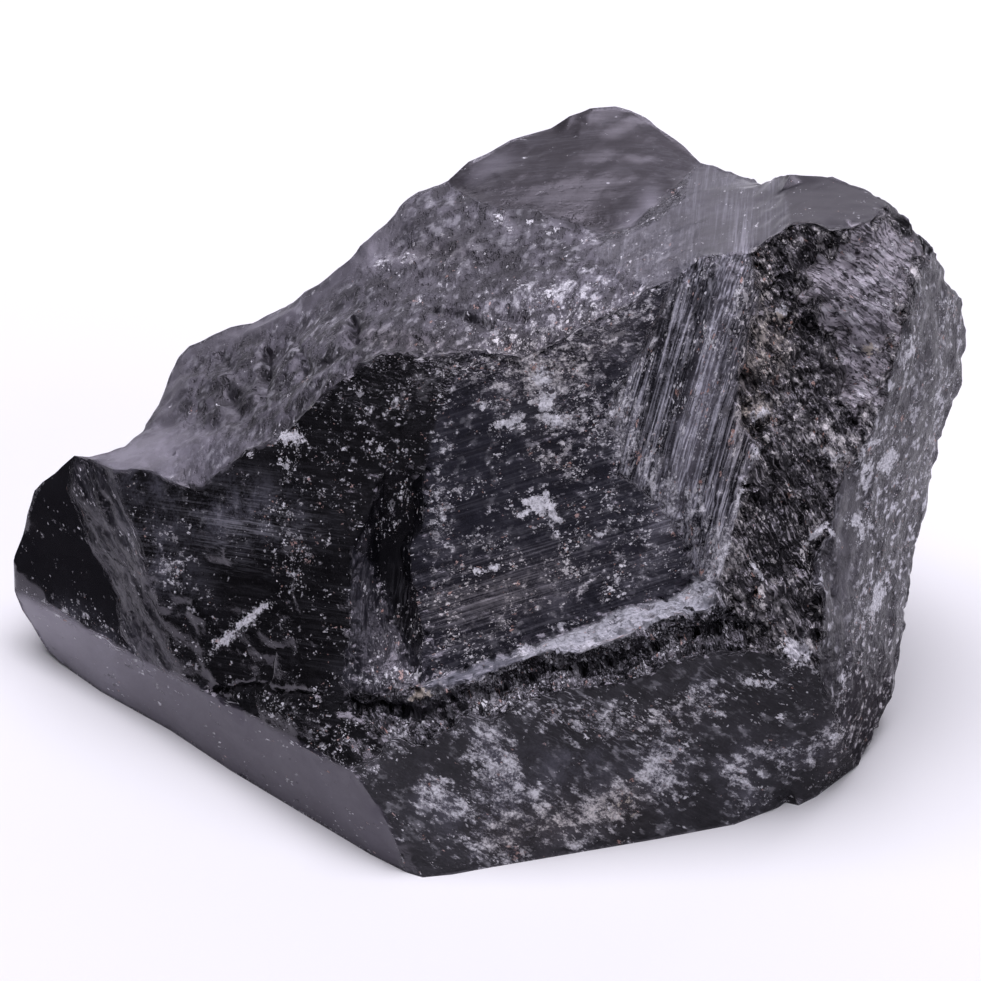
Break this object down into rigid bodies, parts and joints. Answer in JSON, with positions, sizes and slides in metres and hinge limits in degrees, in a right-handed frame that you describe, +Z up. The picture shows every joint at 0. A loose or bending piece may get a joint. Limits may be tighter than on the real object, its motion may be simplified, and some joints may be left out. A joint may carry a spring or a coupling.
{
  "type": "tourmalinated quartz",
  "caption": "Rough broken lump of glassy black tourmaline grown with quartz: flat cleavage faces, a striated step, a pale ledge, a grainy hollow and a flat foot that it rests on.",
  "frame": {"origin": "on the flat foot that the stone rests on, under the middle of its box", "axes": "+Z up from the foot, +X along the longest side towards the tall blunt end, +Y from the stepped front to the hidden far side"},
  "size_m": [0.0492, 0.0372, 0.0273],
  "materials": {
    "stone": "broken and glassy, with pale quartz patches and dust"
  },
  "bodies": {
    "root": {"tourmalinated_quartz": "stone"}
  },
  "joints": []
}
